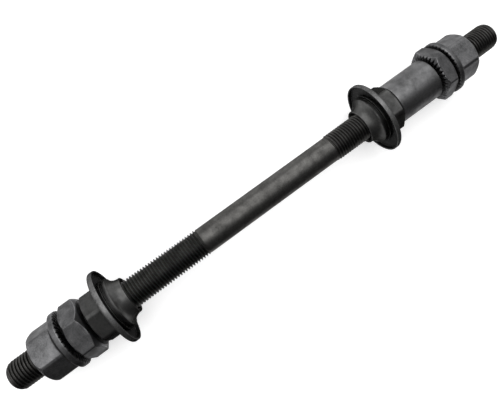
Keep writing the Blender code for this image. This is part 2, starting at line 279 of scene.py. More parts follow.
def blackened_steel(
    name, tone, roughness, rim=0.6, blotch=0.2, grain=0.12, worn=0.3, bump=0.25, thin_coat_and_light_gain=0.0
):
    """Steel with a dark coat. rim dims it at a glancing angle, and the last argument brightens the
    points marked lighter, for a thin coat and for painted light on the outside of the caps.
    """
    material = bpy.data.materials.new(name)
    material.use_nodes = True
    nodes = Tree(material.node_tree)
    shader = material.node_tree.nodes["Principled BSDF"]
    where = nodes.add("ShaderNodeTexCoord").outputs["Object"]
    wide, fine = noise(nodes, where, BLOTCHES), noise(nodes, where, GRAINS)
    wide_shift, fine_shift = shift(nodes, wide, blotch), shift(nodes, fine, grain)

    level = nodes.math("ADD", nodes.math("ADD", wide_shift, fine_shift), 1.0)
    # Brightens the points marked lighter: a thin coat, and on the caps the outside against the
    # painted shade inside the dish
    coat = nodes.math("MULTIPLY_ADD", attribute(nodes, "thin_coat_and_painted_light"), thin_coat_and_light_gain, 1.0)
    level = nodes.math("MULTIPLY", level, coat)
    # Wear on the edges, together with the painted highlight along the creases
    wear = nodes.math("MULTIPLY", wear_and_highlight_pattern(nodes, wide), worn)
    bright = nodes.math("ADD", level, nodes.math("MULTIPLY", wear, WEAR_AND_HIGHLIGHT_GAIN))
    scale = nodes.add("ShaderNodeVectorMath", tone, operation="SCALE")
    nodes.feed(scale.inputs["Scale"], bright)
    nodes.feed(shader.inputs["Base Color"], scale.outputs[0])

    rough = nodes.math("SUBTRACT", roughness, nodes.math("MULTIPLY", wide_shift, BRIGHT_POLISH))
    rough = nodes.math("SUBTRACT", rough, nodes.math("MULTIPLY", wear, WORN_POLISH))
    nodes.feed(shader.inputs["Roughness"], rough)
    relief = nodes.add("ShaderNodeBump")
    relief.inputs["Strength"].default_value = bump
    relief.inputs["Distance"].default_value = GRAIN_DEPTH
    nodes.feed(relief.inputs["Height"], fine)
    nodes.feed(shader.inputs["Normal"], relief.outputs[0])
    shader.inputs["Metallic"].default_value = 1.0
    shader.inputs["Specular Tint"].default_value = (rim, rim, rim, 1.0)
    return material


print("Steel recipe ready")

# %% The five finishes
THREAD_STEEL = blackened_steel(
    "thread_steel", (0.053, 0.052, 0.05), 0.4, rim=0.5, blotch=0.22, worn=0.1, thin_coat_and_light_gain=0.45
)
CONE_STEEL = blackened_steel(
    "ground_cone_steel", (0.062, 0.062, 0.061), 0.42, rim=0.1, grain=0.06, thin_coat_and_light_gain=0.3
)
# The outside of a cap is 2.2 times as bright as its inside, whose darker tone is painted shade
CAP_STEEL = blackened_steel(
    "pressed_cap_steel", (0.06, 0.06, 0.06), 0.48, rim=0.1, grain=0.16, bump=0.35, thin_coat_and_light_gain=1.2
)
SPACER_STEEL = blackened_steel("turned_spacer_steel", (0.126, 0.126, 0.128), 0.42, grain=0.05)
NUT_STEEL = blackened_steel(
    "forged_nut_steel", (0.088, 0.088, 0.09), 0.42, blotch=0.22, worn=0.6, thin_coat_and_light_gain=0.4
)
print("Materials:", [m.name for m in bpy.data.materials])

# %% [markdown]
# ## The axle and its rolled threads
#
# A rolled thread isn't cut. The plain rod is squeezed between dies, which press the root in
# and raise the crest, so the thread stands a little proud of the blank and sinks a little
# below it. It is a true helix, 26 turns to the inch, and each turn of it catches the lamp.
#
# A ring of V grooves would look alike from far off, but wouldn't be a thread. Here a flat
# grid is wrapped round the axle, and each row of it climbs one turn as it goes round once.
# A row then lies along the helix, on the crest, on a flank or in the root, and only its
# radius has to be found. Where the thread ends, the radius fades into that of the blank.

# %% Sizes of the axle
AXLE_LENGTH = height("axle")
PITCH = 25.4 * MM / 26.0
CREST_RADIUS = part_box("axle")[1].x
ROOT_RADIUS = 4.0 * MM
BLANK_RADIUS = 4.4 * MM
LEFT_THREAD = 67.1 * MM
RIGHT_THREAD = 70.2 * MM
RUNOUT = 1.2 * MM
LEFT_TIP_RADIUS = 2.8 * MM
LEFT_TIP_LENGTH = 2.2 * MM
RIGHT_TIP_RADIUS = 3.5 * MM
RIGHT_TIP_LENGTH = 2.4 * MM
# How full a tip's curve is: 1 is a straight cone, and 2 is a quarter of an ellipse
LEFT_TIP_FULLNESS = 1.5
RIGHT_TIP_FULLNESS = 2.0
print(f"Thread: {PITCH / MM:.3f} mm a turn, {2 * CREST_RADIUS / MM:.1f} mm across the crests")

# %% Grids that get wrapped round the axle
FLOAT = "NodeSocketFloat"
INTEGER = "NodeSocketInt"
WELD_DISTANCE = 0.001 * MM
FULL_TURN = 2.0 * math.pi


def grid_cell(nodes, columns, rows):
    """A grid of unit size, with each point's place across and along it, from 0 to 1."""
    corners = nodes.math("ADD", columns, 1.0)
    grid = nodes.add("GeometryNodeMeshGrid", 1.0, 1.0, corners, rows).outputs[0]
    place = nodes.add("ShaderNodeSeparateXYZ", nodes.add("GeometryNodeInputPosition").outputs[0])
    across = nodes.math("ADD", place.outputs[0], 0.5)
    along = nodes.math("ADD", place.outputs[1], 0.5)
    return grid, across, along


def wrap(nodes, grid, turn, radius, z, marks):
    """Moves the grid's points to their radius, turn and height, once their marks are stored.

    The marks come first because they are worked out from the places of the flat grid.
    """
    for label, value in marks.items():
        grid = nodes.add("GeometryNodeStoreNamedAttribute", grid, None, label, value).outputs[0]
    x = nodes.math("MULTIPLY", radius, nodes.math("COSINE", turn))
    y = nodes.math("MULTIPLY", radius, nodes.math("SINE", turn))
    place = nodes.add("ShaderNodeCombineXYZ", x, y, z).outputs[0]
    return nodes.add("GeometryNodeSetPosition", grid, None, place).outputs[0]


def weld(nodes, geometry):
    """Joins points that lie in the same place."""
    merge = nodes.add("GeometryNodeMergeByDistance", geometry)
    merge.inputs["Distance"].default_value = WELD_DISTANCE
    return merge.outputs[0]


print("Grid helpers ready")

# %% Rows that follow the helix
ROWS_PER_TURN = 8
AXLE_COLUMNS = 40
# Rows past the lower and the upper end, and how many of them stay on its rim. The rest close it
ROWS_BELOW = 2.0
ROWS_ABOVE = 4.0
OPEN_ROWS = 1.5


def helix_grid(nodes, start, half, step):
    """Grid whose rows climb one turn each, its points' turn and height, and their row and foot."""
    spare = nodes.math("ADD", start["Pitch"], nodes.math("MULTIPLY", step, ROWS_BELOW))
    first = nodes.math("SUBTRACT", nodes.math("MULTIPLY", half, -1.0), spare)
    above = nodes.math("ADD", spare, nodes.math("MULTIPLY", step, ROWS_ABOVE))
    span = nodes.math("ADD", start["Length"], above)
    steps = nodes.math("CEIL", nodes.math("DIVIDE", span, step))
    grid, across, along = grid_cell(nodes, start["Columns"], nodes.math("ADD", steps, 1.0))
    row = nodes.math("ROUND", nodes.math("MULTIPLY", along, steps))
    foot = nodes.math("MULTIPLY_ADD", row, step, first)
    climbed = nodes.math("MULTIPLY_ADD", across, start["Pitch"], foot)
    inside = nodes.math("MINIMUM", climbed, half)
    z = nodes.math("MAXIMUM", inside, nodes.math("MULTIPLY", half, -1.0))
    return grid, across, z, row, foot


def open_rows(nodes, start, half, step, foot):
    """1 on the rows of the axle's surface, and 0 past its ends, where rows close on its middle."""
    margin = nodes.math("MULTIPLY", step, OPEN_ROWS)
    past_top = nodes.math("GREATER_THAN", foot, nodes.math("ADD", half, margin))
    head = nodes.math("ADD", foot, start["Pitch"])
    above_low_end = nodes.math("ADD", head, nodes.math("ADD", half, margin))
    past_bottom = nodes.math("LESS_THAN", above_low_end, 0.0)
    return nodes.math("SUBTRACT", 1.0, nodes.math("ADD", past_top, past_bottom))


print(f"{ROWS_PER_TURN} rows a turn, {AXLE_COLUMNS} columns")

# %% The form of the thread and the tips
# Shares of the way from the middle of the root to the middle of the crest
FLANK_FOOT = 0.25
FLANK_TOP = 0.875
WEAR_FOOT = 0.6
# How worn the tips are beside the crests, and how far round the tip that is reached
TIP_WEAR = 0.4
TIP_WEAR_REACH = 0.6


def thread_form(nodes, start, row, z):
    """Radius of thread and blank, how plain the rod is there, and how near its crest."""
    place = nodes.math("DIVIDE", nodes.math("ADD", row, 0.5), start["Rows Per Turn"])
    phase = nodes.math("FRACT", place)
    wave = nodes.math("MULTIPLY", nodes.math("ABSOLUTE", nodes.math("SUBTRACT", phase, 0.5)), 2.0)
    form = nodes.ramp(wave, FLANK_FOOT, FLANK_TOP, start["Root Radius"], start["Crest Radius"])
    into_left = nodes.math("SUBTRACT", start["Blank End"], z)
    into_right = nodes.math("SUBTRACT", z, start["Blank Start"])
    depth = nodes.math("DIVIDE", nodes.math("MINIMUM", into_left, into_right), start["Runout"])
    plain = nodes.ramp(depth, 0.0, 1.0, 0.0, 1.0, interpolation_type="SMOOTHSTEP")
    crest = nodes.ramp(wave, WEAR_FOOT, FLANK_TOP, 0.0, 1.0)
    crest = nodes.math("MULTIPLY", crest, nodes.math("SUBTRACT", 1.0, plain))
    return nodes.mix(plain, form, start["Blank Radius"]), plain, crest


def tip_form(nodes, start, half, z):
    """Widest radius that the rounded tips leave, and how far round its tip each point is."""
    on_left = nodes.math("GREATER_THAN", z, 0.0)
    radius, length, fullness = [
        nodes.mix(on_left, start[f"Right Tip {label}"], start[f"Left Tip {label}"])
        for label in ("Radius", "Length", "Fullness")
    ]
    from_end = nodes.math("SUBTRACT", half, nodes.math("ABSOLUTE", z))
    curl = nodes.math("SUBTRACT", 1.0, nodes.math("DIVIDE", from_end, length))
    curl = nodes.math("MAXIMUM", curl, 0.0)
    left_over = nodes.math("SUBTRACT", 1.0, nodes.math("POWER", curl, fullness))
    bow = nodes.math("POWER", left_over, nodes.math("DIVIDE", 1.0, fullness))
    return nodes.mix(bow, radius, start["Crest Radius"]), curl


print(f"Flanks take {100 * (FLANK_TOP - FLANK_FOOT):.0f}% of the way from root to crest")

# %% The tree that rolls the threads
def thread_tree():
    """One surface from tip to tip whose rows follow the helix."""
    labels = (
        "Length", "Pitch", "Crest Radius", "Root Radius", "Blank Radius", "Blank Start",
        "Blank End", "Runout", "Left Tip Radius", "Left Tip Length", "Left Tip Fullness",
        "Right Tip Radius", "Right Tip Length", "Right Tip Fullness",
    )
    sizes = dict.fromkeys(labels, FLOAT) | {"Columns": INTEGER, "Rows Per Turn": INTEGER}
    tree = new_geometry_tree("rolled_threads", sizes)
    nodes = Tree(tree)
    start = nodes.add("NodeGroupInput").outputs
    half = nodes.math("MULTIPLY", start["Length"], 0.5)
    step = nodes.math("DIVIDE", start["Pitch"], start["Rows Per Turn"])
    grid, across, z, row, foot = helix_grid(nodes, start, half, step)
    body, plain, crest = thread_form(nodes, start, row, z)
    dome, curl = tip_form(nodes, start, half, z)
    shown = nodes.math("MINIMUM", body, dome)
    radius = nodes.math("MULTIPLY", shown, open_rows(nodes, start, half, step, foot))

    turn = nodes.math("MULTIPLY", across, FULL_TURN)
    on_tip = nodes.ramp(curl, 0.0, TIP_WEAR_REACH, 0.0, 1.0)
    edge = nodes.math("MAXIMUM", crest, nodes.math("MULTIPLY", on_tip, TIP_WEAR))
    marks = {"edge": edge, "thin_coat_and_painted_light": plain}
    finish_tree(nodes, start, weld(nodes, wrap(nodes, grid, turn, radius, z, marks)))
    return tree


axle = run_tree(
    "dressed_axle",
    bpy.data.meshes.new("seed"),
    thread_tree(),
    {
        "Length": AXLE_LENGTH,
        "Pitch": PITCH,
        "Crest Radius": CREST_RADIUS,
        "Root Radius": ROOT_RADIUS,
        "Blank Radius": BLANK_RADIUS,
        "Blank Start": RIGHT_THREAD - AXLE_LENGTH / 2.0,
        "Blank End": AXLE_LENGTH / 2.0 - LEFT_THREAD,
        "Runout": RUNOUT,
        "Left Tip Radius": LEFT_TIP_RADIUS,
        "Left Tip Length": LEFT_TIP_LENGTH,
        "Left Tip Fullness": LEFT_TIP_FULLNESS,
        "Right Tip Radius": RIGHT_TIP_RADIUS,
        "Right Tip Length": RIGHT_TIP_LENGTH,
        "Right Tip Fullness": RIGHT_TIP_FULLNESS,
        "Columns": AXLE_COLUMNS,
        "Rows Per Turn": ROWS_PER_TURN,
    },
    THREAD_STEEL,
    lay(LEFT, 0.0),
)

# %% [markdown]
# ## One tree for everything that was turned
#
# A cone, a cap, a spacer and a nut differ in outline, but each starts as a lathe would make
# it. The script draws half of the section as a closed loop of points. The tree wraps a grid
# round the axle, looks up the loop's point for each row, and has a turned piece.
#
# The rest of the work on a nut also follows rules, so it is a formula in the same tree.
# Wrench flats: nothing may be further out than the six flat sides, whose distance at any
# turn is half the width across flats over a cosine. A smooth minimum of that distance and
# the turned radius cuts the flats, leaves the curved line where a chamfer meets a flat, and
# rounds the edge between them in one go. Radial teeth: the face is lifted into each V groove
# by the groove's depth there.

# %% Turning a drawn loop
def look_up(nodes, geometry, value, index, kind):
    """The value that point number index of the drawn profile has."""
    return nodes.add("GeometryNodeSampleIndex", geometry, value, index, data_type=kind).outputs[0]


def turned_grid(nodes, start):
    """Grid with a row for each point of the loop, its turn, radius and height, and its marks."""
    drawing = start["Geometry"]
    count = nodes.add("GeometryNodeAttributeDomainSize", drawing).outputs["Point Count"]
    grid, across, along = grid_cell(nodes, start["Columns"], nodes.math("ADD", count, 1.0))
    row = nodes.math("ROUND", nodes.math("MULTIPLY", along, count))
    row = nodes.math("FLOORED_MODULO", row, count)
    turn = nodes.math("MULTIPLY", across, FULL_TURN)
    drawn = nodes.add("GeometryNodeInputPosition").outputs[0]
    place = look_up(nodes, drawing, drawn, row, "FLOAT_VECTOR")
    point = nodes.add("ShaderNodeSeparateXYZ", place).outputs
    marks = {}
    for label in ("edge", "thin_coat_and_painted_light"):
        mark = nodes.add("GeometryNodeInputNamedAttribute", label, data_type="FLOAT").outputs[0]
        marks[label] = look_up(nodes, drawing, mark, row, "FLOAT")
    return grid, turn, point[0], point[2], marks


print("Turning helpers ready")

# %% Milling the wrench flats
SIXTH_TURN = math.pi / 3.0
# A distance that counts as far from any crease
FAR = MM


def wrench_flats(nodes, start, turn, turned, z):
    """Radius once six flats are cut down to a collar, and the distance to the line where they end,
    along which a highlight is painted.
    """
    sixth = nodes.math("FLOORED_MODULO", turn, SIXTH_TURN)
    from_middle = nodes.math("SUBTRACT", sixth, SIXTH_TURN / 2.0)
    apothem = nodes.math("MULTIPLY", start["Across Flats"], 0.5)
    flat = nodes.math("DIVIDE", apothem, nodes.math("COSINE", from_middle))
    milled = nodes.math("SMOOTH_MIN", turned, flat, start["Softness"])
    rise = nodes.math("SUBTRACT", z, start["Collar Height"])
    taper = nodes.math("MULTIPLY", rise, start["Collar Slope"])
    collar = nodes.math("SUBTRACT", start["Collar Radius"], taper)
    joined = nodes.math("SMOOTH_MAX", milled, collar, start["Fillet"])
    above = nodes.math("GREATER_THAN", z, start["Flats From"])
    below = nodes.math("LESS_THAN", z, start["Flats To"])
    on_flats = nodes.math("MULTIPLY", above, below)
    radius = nodes.mix(on_flats, turned, nodes.math("MINIMUM", turned, joined))

    # Distance to the lines where the flats end, along which the material paints a highlight
    cut = nodes.math("SUBTRACT", turned, flat)
    chamfered = nodes.math("LESS_THAN", turned, start["Chamfered Below"])
    full_width = nodes.math("SUBTRACT", 1.0, chamfered)
    from_arch = nodes.math("ADD", cut, nodes.math("MULTIPLY", full_width, FAR))
    from_collar = nodes.math("SUBTRACT", milled, collar)
    from_line = nodes.math("MINIMUM", from_arch, from_collar)
    far_off = nodes.math("MULTIPLY", nodes.math("SIGN", cut), FAR)
    distance = nodes.mix(on_flats, far_off, from_line)
    highlight_crease = nodes.math("ADD", nodes.math("DIVIDE", distance, MM), 1.0)
    return radius, highlight_crease


print("Flats: six, each over", round(math.degrees(SIXTH_TURN)), "degrees")

# %% Cutting the radial teeth
# A groove's walls stand 30 degrees from upright
GROOVE_SLOPE = 1.0 / math.tan(math.radians(30.0))
# How far out from its start a groove reaches its full depth
GROOVE_RUN_IN = 0.3 * MM


def radial_teeth(nodes, start, turn, radius, z):
    """Height once V grooves are cut into the toothed face."""
    spacing = nodes.math("DIVIDE", FULL_TURN, start["Tooth Count"])
    half_spacing = nodes.math("MULTIPLY", spacing, 0.5)
    in_tooth = nodes.math("FLOORED_MODULO", nodes.math("ADD", turn, half_spacing), spacing)
    in_tooth = nodes.math("SUBTRACT", in_tooth, half_spacing)
    beside = nodes.math("MULTIPLY", nodes.math("ABSOLUTE", in_tooth), radius)
    wall = nodes.math("MULTIPLY", beside, GROOVE_SLOPE)
    groove = nodes.math("MAXIMUM", nodes.math("SUBTRACT", start["Tooth Depth"], wall), 0.0)
    outside = nodes.math("SUBTRACT", radius, start["Tooth Start"])
    groove = nodes.math("MULTIPLY", groove, nodes.ramp(outside, 0.0, GROOVE_RUN_IN, 0.0, 1.0))
    side = start["Tooth Side"]
    bottom = nodes.math("ADD", nodes.math("MULTIPLY", side, start["Toothed Face"]), groove)
    cut = nodes.math("MAXIMUM", nodes.math("MULTIPLY", side, z), bottom)
    return nodes.mix(nodes.math("ABSOLUTE", side), z, nodes.math("MULTIPLY", cut, side))


print(f"Grooves: walls rise {GROOVE_SLOPE:.2f} for each 1 across")

# %% The tree that turns, mills and serrates
def turning_tree():
    """One tree for every turned piece: a profile, wrench flats and radial teeth."""
    labels = (
        "Across Flats", "Flats From", "Flats To", "Softness", "Chamfered Below", "Collar Radius",
        "Collar Height", "Collar Slope", "Fillet", "Tooth Depth", "Tooth Start", "Toothed Face",
        "Tooth Side",
    )
    sizes = dict.fromkeys(labels, FLOAT) | {"Columns": INTEGER, "Tooth Count": INTEGER}
    tree = new_geometry_tree("turned_piece", sizes)
    nodes = Tree(tree)
    start = nodes.add("NodeGroupInput").outputs
    grid, turn, turned, drawn_z, marks = turned_grid(nodes, start)
    radius, marks["highlight_crease"] = wrench_flats(nodes, start, turn, turned, drawn_z)
    z = radial_teeth(nodes, start, turn, radius, drawn_z)
    finish_tree(nodes, start, weld(nodes, wrap(nodes, grid, turn, radius, z, marks)))
    return tree


TURNING = turning_tree()
print("Turning tree:", len(TURNING.nodes), "nodes")

# %% [markdown]
# ## Drawing a section
#
# A section is a list of corners, each with its radius and its height. Real corners are never
# perfectly sharp, and it is the small round on them that catches the light, so each corner
# also says how far its round reaches. `section` bends each corner with a short curve, marks
# the middle of the curve as an edge for the worn finish, and puts a supporting row close
# beside it, so that smooth shading stays flat on the flat faces.
#
# Where flats or teeth will cut across a stretch, it needs rows of its own to bend, and the
# last number of a corner says how many rows the stretch after it gets.

# %% Sections with soft corners
CURVE_POINTS = 4
# How worn a turned corner is beside the lines where two surfaces meet
CORNER_WEAR = 0.5
# How far from a corner its supporting row stands, and how many times that a stretch needs to be
SUPPORT = 0.06 * MM
SUPPORTED_FROM = 4.0


def bent_corner(before, corner, after, reach):
    """Points of a short curve that rounds a corner, with how much of an edge each one is."""
    one = corner + (before - corner).normalized() * reach
    two = corner + (after - corner).normalized() * reach
    points = []
    for i in range(CURVE_POINTS + 1):
        t = i / CURVE_POINTS
        bend = one * (1 - t) ** 2 + corner * 2 * t * (1 - t) + two * t ** 2
        points.append((bend, CORNER_WEAR * math.sin(math.pi * t)))
    return points


def section(*corners):
    """Closed loop of points for corners of (radius, height, reach of the round, rows after it)."""
    places = [Vector((r, 0.0, z)) for r, z, reach, rows in corners]
    rounds = []
    for i, (r, z, reach, rows) in enumerate(corners):
        if reach:
            after = places[(i + 1) % len(places)]
            rounds.append(bent_corner(places[i - 1], places[i], after, reach))
        else:
            rounds.append([(places[i], 0.0)])
    loop = []
    for i, (r, z, reach, rows) in enumerate(corners):
        loop += rounds[i]
        first, last = rounds[i][-1][0], rounds[(i + 1) % len(corners)][0][0]
        loop += stretch(first, last, rows)
    return profile_mesh(loop)


def stretch(first, last, rows):
    """Points between two corners: a supporting one near each end, and rows between."""
    length = (last - first).length
    shares = [i / rows for i in range(1, rows)]
    if length > SUPPORTED_FROM * SUPPORT:
        near = SUPPORT / length
        shares = [near] + [s for s in shares if near < s < 1.0 - near] + [1.0 - near]
    return [(first.lerp(last, share), 0.0) for share in shares]


def profile_mesh(loop):
    """Mesh of loose points in order, each with its edge value."""
    mesh = bpy.data.meshes.new("profile")
    mesh.from_pydata([point for point, edge in loop], [], [])
    edge = mesh.attributes.new("edge", "FLOAT", "POINT")
    edge.data.foreach_set("value", [value for point, value in loop])
    return mesh


def mark_thin_coat_and_painted_light(mesh, is_lighter):
    """Stores which of a profile's points are drawn lighter. The test gets radius and height."""
    marks = [is_lighter(point.co.x, point.co.z) for point in mesh.vertices]
    mesh.attributes.new("thin_coat_and_painted_light", "FLOAT", "POINT").data.foreach_set("value", marks)


def arc(centre_r, centre_z, radius, first, last, steps, rise=None):
    """Corners without rounds along an arc, from one angle to another in degrees."""
    rise = rise or radius
    angles = [math.radians(first + (last - first) * i / steps) for i in range(steps + 1)]
    return [(centre_r + radius * math.cos(a), centre_z + rise * math.sin(a), 0.0, 1) for a in angles]


print("Section helpers ready")

# %% A profile becomes a piece
COLUMNS = 180
# How softly a flat meets the turned surface
EDGE_SOFTNESS = 0.08 * MM
# What counts as full width is a little below it, because a mesh's numbers are rounded
NEARLY = 0.02 * MM


def turn_piece(name, node, side, profile, material, corner=0.0, columns=COLUMNS, **sizes):
    """Turns a profile into the dressed piece of a node, and hides the plain solid."""
    labels = {key.replace("_", " ").title(): value for key, value in sizes.items()}
    common = {"Columns": columns, "Tooth Count": 1, "Softness": EDGE_SOFTNESS}
    place = lay(side, inboard(node), corner)
    piece = run_tree(name, profile, TURNING, common | labels, material, place)
    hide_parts(node)
    return piece


print(f"{COLUMNS} columns round a plain piece")

# %% [markdown]
# ## Bearing cones
#
# The cone is the inner race of the wheel's bearing: its hollow curve is where the balls run,
# so it is ground smooth, and only a thin coat is left on it. Behind the race come a short
# plain base, a groove, and a thin ring that stops the dust cap. The outboard end is milled to a
# 15 mm hexagon for a thin cone spanner.
#
# That hexagon could be cut with a Boolean modifier. Cut by the tree's formula, it stays part
# of one closed skin with tidy rows, and one function makes both cones.

# %% Two cones
CONE = {
    "bore": 4.95, "lip": 6.15, "lip_length": 0.5, "lip_chamfer": 0.2, "race": 3.3, "base": 8.5,
    "base_bevel": 0.2, "base_length": 0.65, "groove": 7.9, "groove_length": 0.8, "ring": 8.85,
    "ring_length": 0.45, "seat": 8.25, "seat_length": 1.6, "corner": 8.4, "face": 7.4,
    "chamfer": 0.5,
}
CONE = {label: value * MM for label, value in CONE.items()}
CONE_FLATS = 15.0 * MM
COUNTERSINK = 0.6 * MM
RACE_ROWS = 28
ROUND = 0.08 * MM
# How far past the end of a piece its flats may reach
BEYOND = MM
# How far round the axle a hexagon's first corner stands, in degrees
LEFT_CONE_ANGLE = -14.0
RIGHT_CONE_ANGLE = -36.0


def cone_section(length):
    """The cone's section, from its outboard end down its outer side, and where its seat ends."""
    c = CONE
    rise = c["base"] - c["base_bevel"] - c["lip"]
    sweep = math.acos(1.0 - rise / c["race"])
    race_top = c["lip_length"] + c["race"] * math.sin(sweep)
    base_end = race_top + c["base_bevel"] + c["base_length"]
    ring_start = base_end + c["groove_length"]
    ring_end = ring_start + c["ring_length"]
    seat_end = ring_end + c["seat_length"]
    angle = 180.0 - math.degrees(sweep)
    race = arc(c["lip"] + c["race"], c["lip_length"], c["race"], angle, 180.0, RACE_ROWS)
    profile = section(
        (c["bore"] + COUNTERSINK, length, ROUND, 2),
        (c["face"], length, ROUND, 5),
        (c["corner"], length - c["chamfer"], ROUND, 6),
        (c["corner"], seat_end, 0.0, 1),
        (c["seat"], seat_end, 0.0, 1),
        (c["seat"], ring_end, 0.0, 1),
        (c["ring"], ring_end, ROUND, 1),
        (c["ring"], ring_start, ROUND, 1),
        (c["groove"], ring_start, 0.0, 1),
        (c["groove"], base_end, 0.0, 1),
        (c["base"], base_end, ROUND, 1),
        (c["base"], race_top + c["base_bevel"], ROUND, 1),
        *race,
        (c["lip"], c["lip_chamfer"], ROUND, 1),
        (c["lip"] - c["lip_chamfer"], 0.0, ROUND, 1),
        (c["bore"] + COUNTERSINK, 0.0, ROUND, 1),
        (c["bore"], COUNTERSINK, ROUND, 2),
        (c["bore"], length - COUNTERSINK, ROUND, 1),
    )
    mark_thin_coat_and_painted_light(profile, lambda r, z: z < race_top and r > c["lip"] - ROUND)
    return profile, seat_end


def make_cone(node, side, corner):
    length = height(node)
    profile, flats_from = cone_section(length)
    return turn_piece(
        f"dressed_{node}", node, side, profile, CONE_STEEL, corner, across_flats=CONE_FLATS,
        flats_from=flats_from + NEARLY, flats_to=length + BEYOND,
        chamfered_below=CONE["corner"] - NEARLY,
    )


left_cone = make_cone("left_cone", LEFT, LEFT_CONE_ANGLE)
right_cone = make_cone("right_cone", RIGHT, RIGHT_CONE_ANGLE)

# %% [markdown]
# ## Dust caps
#
# A dust cap is a dish pressed from thin sheet, pushed over the cone's seat against the ring,
# with its rim turned towards the bearing to keep dirt out. Bending sheet leaves a larger
# round outside than inside, by the thickness of the sheet, and the sheared edge of the rim
# stays almost square. The profile marks the outside lighter, and the inside of the dish keeps
# a darker tone as painted shade.
#
# A single skin with a Solidify modifier would give the same wall. A drawn wall is as short to
# write, and the two edges of its rim are rounded like any other corner.

# %% Two caps
CAP_SHEET = 0.6 * MM
CAP_BEND = 0.75 * MM
CAP_FIT = 0.01 * MM
CAP_HOLE = CONE["seat"] + CAP_FIT
CAP_ROUND = 0.12 * MM
BEND_ROWS = 10
INNER_BEND_ROWS = 6
CAP_COLUMNS = 192


def cap_section(radius, depth):
    inner = CAP_BEND - CAP_SHEET
    centre_r, centre_z = radius - CAP_BEND, depth - CAP_BEND
    mesh = section(
        (CAP_HOLE, depth, ROUND, 1),
        *arc(centre_r, centre_z, CAP_BEND, 90.0, 0.0, BEND_ROWS),
        (radius, 0.0, CAP_ROUND, 1),
        (radius - CAP_SHEET, 0.0, CAP_ROUND, 1),
        *arc(centre_r, centre_z, inner, 0.0, 90.0, INNER_BEND_ROWS),
        (CAP_HOLE, depth - CAP_SHEET, ROUND, 1),
    )
    middle_r, middle_z = radius - CAP_SHEET / 2.0, depth - CAP_SHEET / 2.0
    # The outside is marked lighter, and the inside of the dish is left darker as painted shade
    mark_thin_coat_and_painted_light(mesh, lambda r, z: r > middle_r or z > middle_z)
    return mesh


def make_cap(name, node, side):
    section_of_cap = cap_section(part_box(node)[1].x, height(node))
    return turn_piece(name, node, side, section_of_cap, CAP_STEEL, columns=CAP_COLUMNS)


left_cap = make_cap("dressed_left_cap", "left_dust_cap", LEFT)
right_cap = make_cap("dressed_right_cap", "right_dust_cap", RIGHT)

# %% [markdown]
# ## The spacer
#
# The gears need room on the right, and a plain tube fills it. It is the lightest of the
# pieces, because a turned surface takes the coat thinly. A cylinder with a Bevel modifier
# would look much the same, but its corners wouldn't be marked for wear as a section's are.

# %% The spacer tube
SPACER_CHAMFER = 0.35 * MM
spacer_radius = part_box("right_spacer")[1].x
spacer_length = height("right_spacer")
BORE = CONE["bore"]
right_spacer = turn_piece(
    "dressed_right_spacer",
    "right_spacer",
    RIGHT,
    section(
        (BORE, spacer_length, ROUND, 1),
        (spacer_radius - SPACER_CHAMFER, spacer_length, ROUND, 1),
        (spacer_radius, spacer_length - SPACER_CHAMFER, ROUND, 1),
        (spacer_radius, SPACER_CHAMFER, ROUND, 1),
        (spacer_radius - SPACER_CHAMFER, 0.0, ROUND, 1),
        (BORE, 0.0, ROUND, 1),
    ),
    SPACER_STEEL,
)

# %% [markdown]
# ## Locknuts
#
# The locknut jams against the cone or the spacer so that the bearing keeps its setting. Its
# corners are chamfered on both faces, which leaves the arched line on each flat. One face is
# serrated, to bite: on this axle the left nut has fine teeth towards the dropout of the
# bicycle's frame, and the right nut has deep teeth towards the spacer.
#
# A Boolean modifier could cut the 36 grooves, but it leaves long thin faces that shade badly.
# Here the rows of the face are lifted into the grooves, and the mesh stays a regular grid.

# %% Two locknuts
LOCKNUT_FLATS = 17.0 * MM
LOCKNUT_CORNER = 9.7 * MM
LOCKNUT_FACE = 8.1 * MM
CHAMFER_SLOPE = math.tan(math.radians(36.0))
TEETH = 36
TOOTH_DEPTH = 0.4 * MM
DEEP_TOOTH_DEPTH = 0.8 * MM
TOOTH_START = 5.7 * MM
NUT_COLUMNS = 360
LEFT_LOCKNUT_ANGLE = -22.0
RIGHT_LOCKNUT_ANGLE = -24.0


def locknut_section(tall):
    drop = (LOCKNUT_CORNER - LOCKNUT_FACE) * CHAMFER_SLOPE
    return section(
        (BORE + COUNTERSINK, tall, ROUND, 4),
        (LOCKNUT_FACE, tall, ROUND, 8),
        (LOCKNUT_CORNER, tall - drop, ROUND, 6),
        (LOCKNUT_CORNER, drop, ROUND, 8),
        (LOCKNUT_FACE, 0.0, ROUND, 4),
        (BORE + COUNTERSINK, 0.0, ROUND, 1),
        (BORE, COUNTERSINK, ROUND, 1),
        (BORE, tall - COUNTERSINK, ROUND, 1),
    )


def make_locknut(node, side, corner, teeth_outboard):
    tall = height(node)
    return turn_piece(
        f"dressed_{node}", node, side, locknut_section(tall), NUT_STEEL, corner, NUT_COLUMNS,
        across_flats=LOCKNUT_FLATS, flats_from=-BEYOND, flats_to=tall + BEYOND,
        chamfered_below=LOCKNUT_CORNER - NEARLY, tooth_count=TEETH,
        tooth_depth=TOOTH_DEPTH if teeth_outboard else DEEP_TOOTH_DEPTH, tooth_start=TOOTH_START,
        toothed_face=tall if teeth_outboard else 0.0, tooth_side=-1.0 if teeth_outboard else 1.0,
    )


left_locknut = make_locknut("left_locknut", LEFT, LEFT_LOCKNUT_ANGLE, True)
right_locknut = make_locknut("right_locknut", RIGHT, RIGHT_LOCKNUT_ANGLE, False)

# %% [markdown]
# ## Flanged axle nuts
#
# These hold the wheel in the frame. Each is forged in one piece: a hexagon with a domed
# outer end, standing on a conical flange whose face is serrated to grip the dropout. The
# same formula makes the join: the flange's cone is a radius below which nothing is cut, and
# a smooth maximum blends the flats into it along a curved line. The hexagon is drawn lighter
# than the flange.

